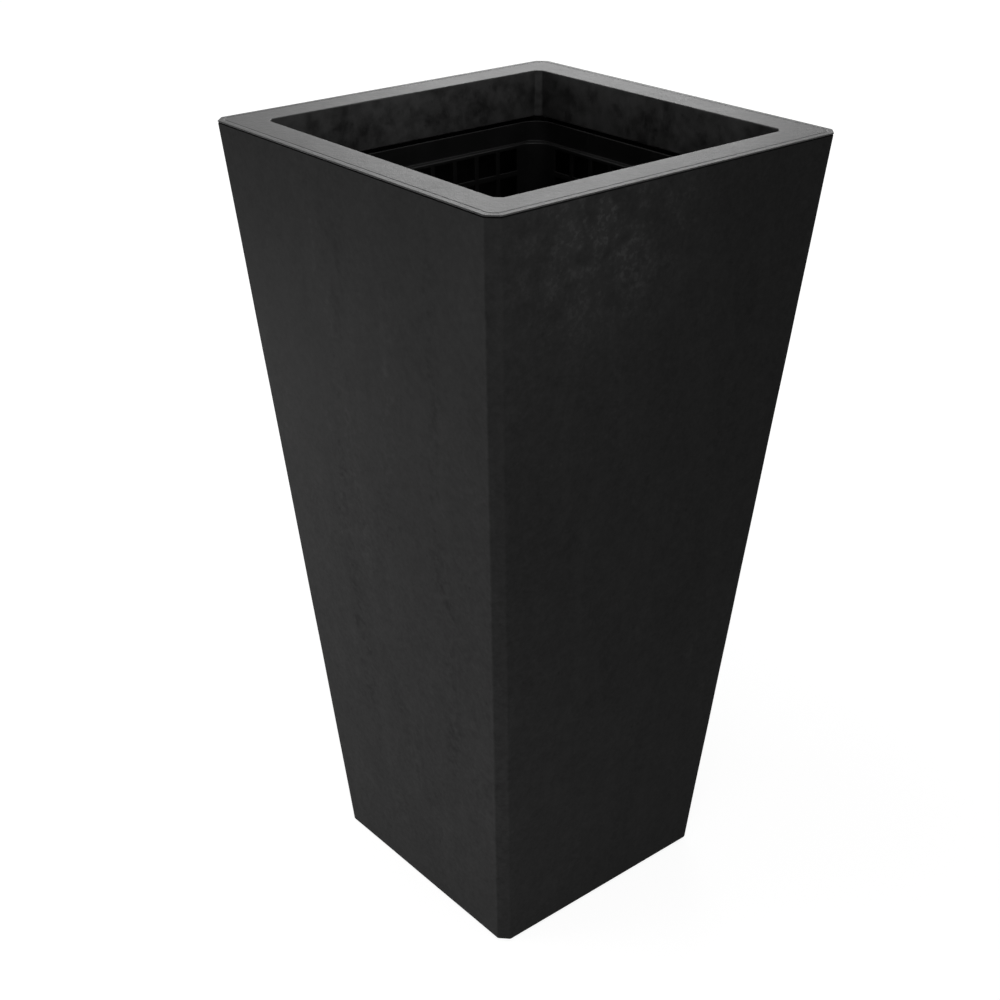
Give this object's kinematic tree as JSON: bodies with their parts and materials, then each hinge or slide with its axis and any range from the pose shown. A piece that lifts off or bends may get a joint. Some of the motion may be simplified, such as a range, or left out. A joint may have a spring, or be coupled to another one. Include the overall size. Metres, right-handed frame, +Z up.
{
  "type": "tapered square planter",
  "caption": "Tall square planter that tapers towards its foot, with a wide flat rim and a slotted basket that lifts out for planting.",
  "frame": {"origin": "on the ground, on the planter's vertical axis", "axes": "+Z up, through the centre of the mouth; the four walls face -X, +X, -Y and +Y"},
  "size_m": [0.4, 0.4, 0.79],
  "materials": {
    "laminate": "matte anthracite paint on glass-fibre laminate, faintly mottled, a little dusty",
    "rim_laminate": "the same paint rubbed to a satin sheen",
    "raw_laminate": "unpainted laminate, resin-rich, with the mat's fibres showing",
    "basket_plastic": "moulded black plastic, half gloss, scuffed",
    "rubber": "soft black rubber"
  },
  "bodies": {
    "planter": {"body_shell": "laminate", "rim_frame": "rim_laminate", "support_ledge_right": "raw_laminate", "support_ledge_back": "raw_laminate", "support_ledge_left": "raw_laminate", "support_ledge_front": "raw_laminate", "base_pad_front_left": "rubber", "base_pad_front_right": "rubber", "base_pad_back_left": "rubber", "base_pad_back_right": "rubber"},
    "basket": {"planting_basket": "basket_plastic"},
    "plug": {"drain_plug": "rubber"}
  },
  "joints": [
    {"name": "basket_lift", "type": "slide", "parent": "planter", "child": "basket", "axis": [0, 0, 1], "range_m": [0, 0.35]},
    {"name": "drain_plug_pull", "type": "slide", "parent": "planter", "child": "plug", "axis": [0, 0, 1], "range_m": [0, 0.05]}
  ]
}
